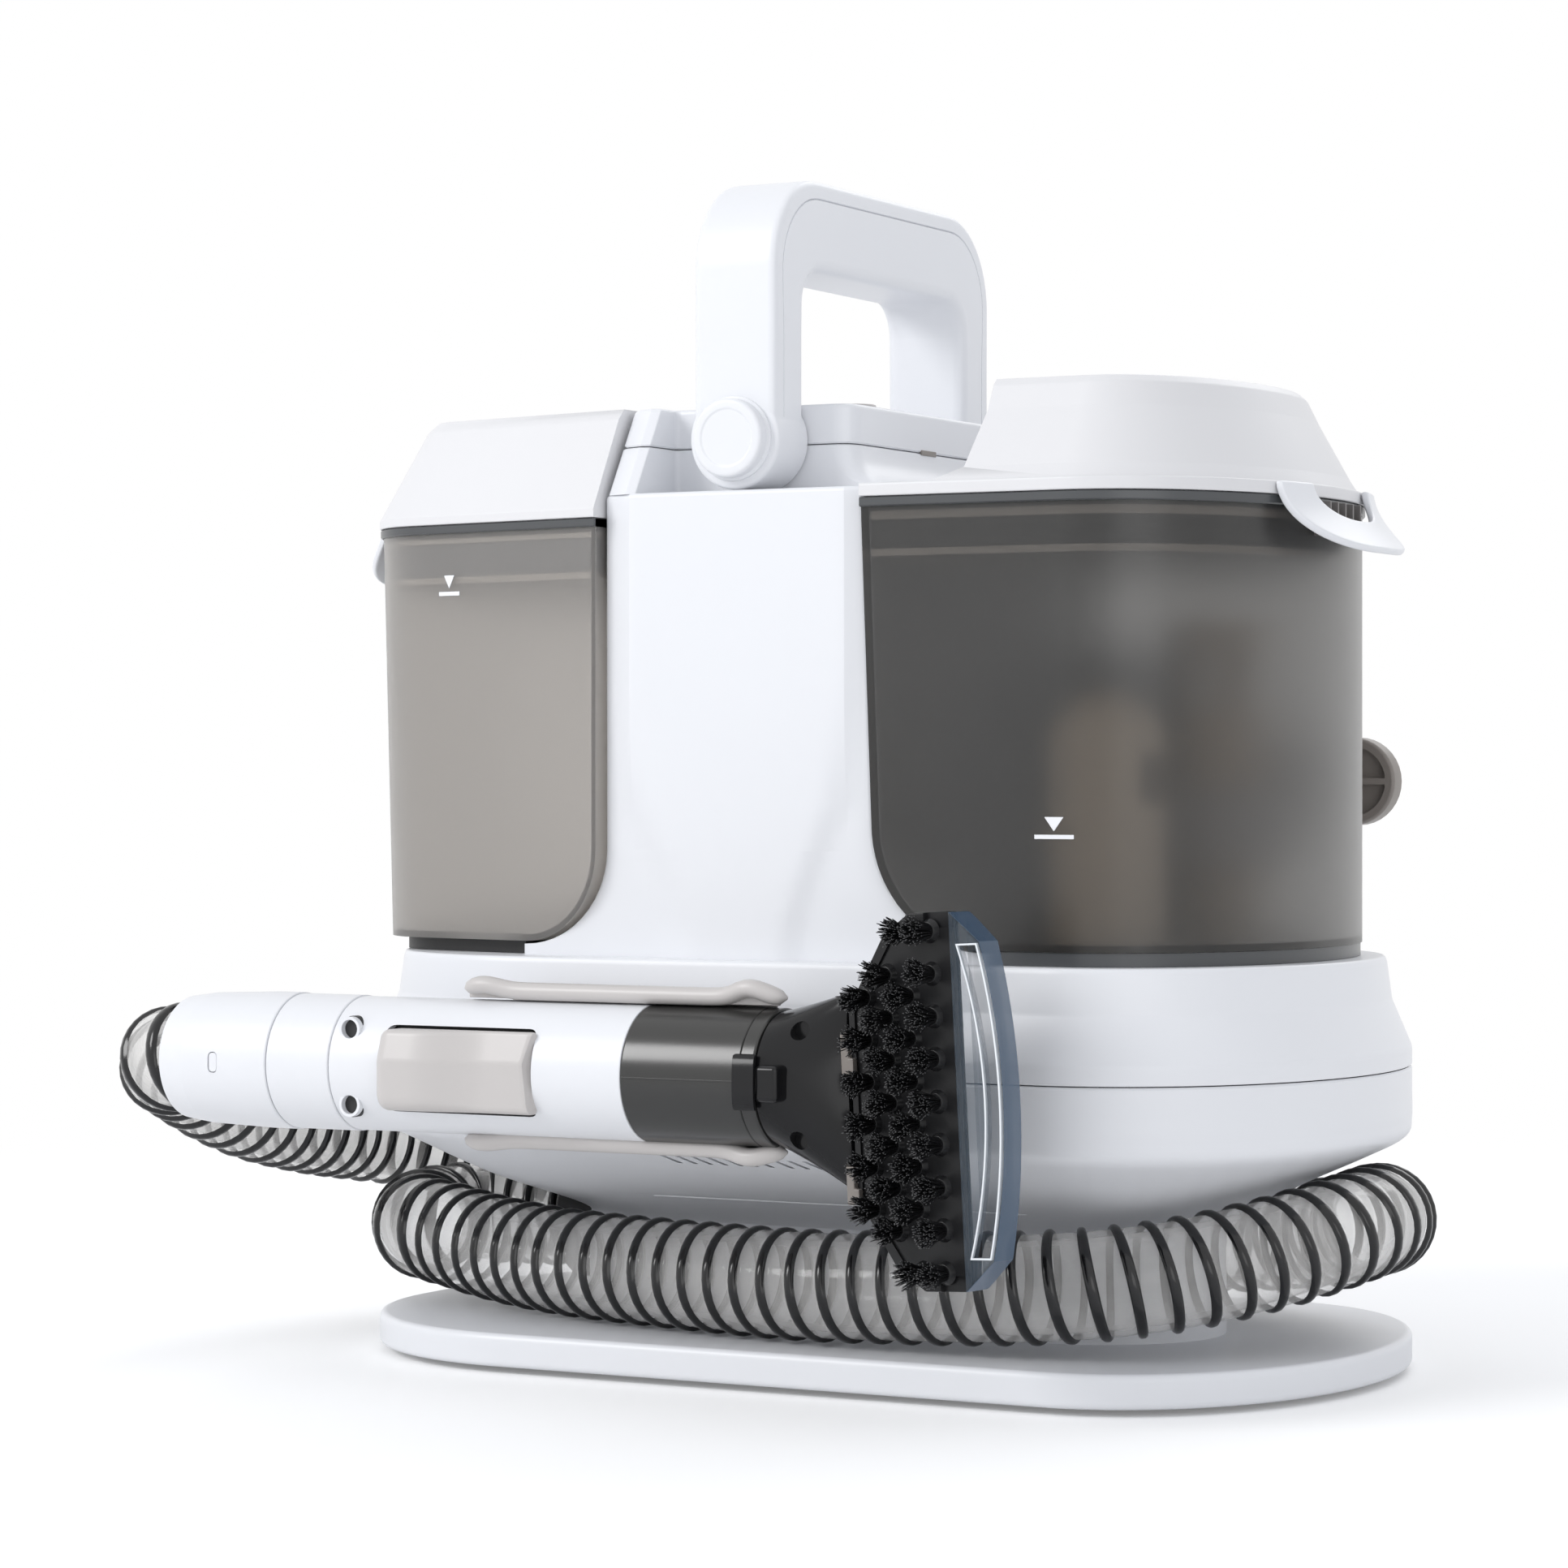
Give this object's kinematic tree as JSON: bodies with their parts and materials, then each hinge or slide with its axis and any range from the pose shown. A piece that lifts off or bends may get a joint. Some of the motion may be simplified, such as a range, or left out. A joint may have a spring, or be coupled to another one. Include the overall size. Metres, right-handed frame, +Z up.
{
  "type": "portable spot extractor",
  "caption": "Portable spot extractor for carpet and upholstery: clean and recovery tanks, carry handle, ribbed suction hose round the waist, and a trigger handset with a brush tool.",
  "frame": {"origin": "middle of the base plate on the floor, at the centre foot", "axes": "+X along the base plate towards its elliptical end, -Y towards the handset, +Z up"},
  "size_m": [0.3787, 0.2666, 0.353],
  "materials": {
    "body_white": "smooth moulded, slightly glossy",
    "warm_grey": "smooth moulded, satin",
    "taupe": "satin",
    "black_gloss": "glossy",
    "black_matte": "matte",
    "smoke": "dark smoked, see-through",
    "mist": "grey, see-through",
    "clear_tint": "clear with a blue tint",
    "clear_hose": "clear wall with a dark helix",
    "rubber": "matte",
    "steel": "brushed",
    "board": "solder mask"
  },
  "bodies": {
    "machine": {"base_feet": "rubber", "base_plate": "body_white", "base_screws": "steel", "lower_housing": "body_white", "hose_socket": "black_matte", "hose": "clear_hose", "motor_pad": "rubber", "motor_can": "steel", "fan_housing": "black_matte", "air_duct": "black_matte", "pump_body": "black_matte", "supply_tube": "clear_tint", "spray_line": "clear_tint", "recovery_duct": "black_matte", "valve_cup": "black_matte", "deck_housing": "body_white", "cord_gland": "black_matte", "clean_seat": "rubber", "recovery_seats": "rubber", "column_front": "body_white", "column_rear": "body_white", "rear_panel": "body_white", "cord_hooks": "taupe", "circuit_board": "board", "control_housing": "body_white", "control_cover": "body_white", "switch_body": "black_matte", "pivot_pins": "steel", "handset_clip": "warm_grey", "clip_screws": "steel"},
    "handle": {"handle_frame": "body_white", "handle_caps": "body_white"},
    "fan": {"fan_rotor": "warm_grey"},
    "button": {"power_button": "warm_grey"},
    "clean_tank": {"clean_tank": "mist", "clean_valve": "black_matte"},
    "plunger": {"valve_plunger": "steel"},
    "clean_lid": {"clean_lid": "body_white", "clean_seal": "rubber"},
    "clean_latch": {"clean_latch": "body_white"},
    "recovery_tank": {"recovery_tank": "smoke", "standpipe": "mist", "air_pipe": "mist"},
    "float": {"float_sleeve": "warm_grey"},
    "recovery_lid": {"recovery_lid": "body_white", "recovery_seal": "rubber"},
    "recovery_latch": {"recovery_latch": "body_white"},
    "handset": {"grip_front": "body_white", "grip_back": "body_white", "hose_cuff": "body_white", "swivel_ring": "body_white", "suction_tube": "mist", "spray_valve": "black_matte", "trigger_pin": "steel", "collar": "smoke"},
    "trigger": {"trigger": "warm_grey"},
    "brush_tool": {"tool_neck": "black_gloss", "tool_body": "black_gloss", "brush_plate": "black_gloss", "nozzle_window": "clear_tint"}
  },
  "joints": [
    {"name": "handle_pivot", "type": "hinge", "parent": "machine", "child": "handle", "pos_m": [-0.0153, 0, 0.277], "axis": [0, -1, 0], "range_deg": [-42, 22]},
    {"name": "fan_spin", "type": "hinge", "parent": "machine", "child": "fan", "pos_m": [-0.012, 0, 0.07], "axis": [0, 0, 1], "continuous": true},
    {"name": "button_press", "type": "slide", "parent": "machine", "child": "button", "axis": [0, 0, -1], "range_m": [0, 0.0015], "stiffness_N_per_m": 400, "springref_m": -0.002},
    {"name": "clean_tank_lift", "type": "slide", "parent": "machine", "child": "clean_tank", "axis": [0, 0, 1], "range_m": [0, 0.14]},
    {"name": "plunger_slide", "type": "slide", "parent": "clean_tank", "child": "plunger", "axis": [0, 0, 1], "range_m": [0, 0.003], "stiffness_N_per_m": 150, "springref_m": -0.003},
    {"name": "clean_lid_lift", "type": "slide", "parent": "clean_tank", "child": "clean_lid", "axis": [0, 0, 1], "range_m": [0, 0.06]},
    {"name": "clean_latch_swing", "type": "hinge", "parent": "clean_lid", "child": "clean_latch", "pos_m": [-0.1629, 0, 0.2571], "axis": [0, 1, 0], "range_deg": [0, 30]},
    {"name": "recovery_tank_lift", "type": "slide", "parent": "machine", "child": "recovery_tank", "axis": [0, 0, 1], "range_m": [0, 0.14]},
    {"name": "float_rise", "type": "slide", "parent": "recovery_tank", "child": "float", "axis": [0, 0, 1], "range_m": [0, 0.044]},
    {"name": "recovery_lid_lift", "type": "slide", "parent": "recovery_tank", "child": "recovery_lid", "axis": [0, 0, 1], "range_m": [0, 0.06]},
    {"name": "recovery_latch_swing", "type": "hinge", "parent": "recovery_lid", "child": "recovery_latch", "pos_m": [0.1496, 0, 0.2606], "axis": [0, -1, 0], "range_deg": [0, 30]},
    {"name": "handset_unclip", "type": "slide", "parent": "machine", "child": "handset", "axis": [0, -1, 0], "range_m": [0, 0.045], "deforming": ["hose"]},
    {"name": "trigger_squeeze", "type": "hinge", "parent": "handset", "child": "trigger", "pos_m": [-0.049, -0.13455, 0.093], "axis": [0, 0, -1], "range_deg": [0, 5], "stiffness_Nm_per_rad": 0.4, "springref_deg": -5.73},
    {"name": "tool_pull", "type": "slide", "parent": "handset", "child": "brush_tool", "axis": [1, 0, 0], "range_m": [0, 0.03]}
  ]
}
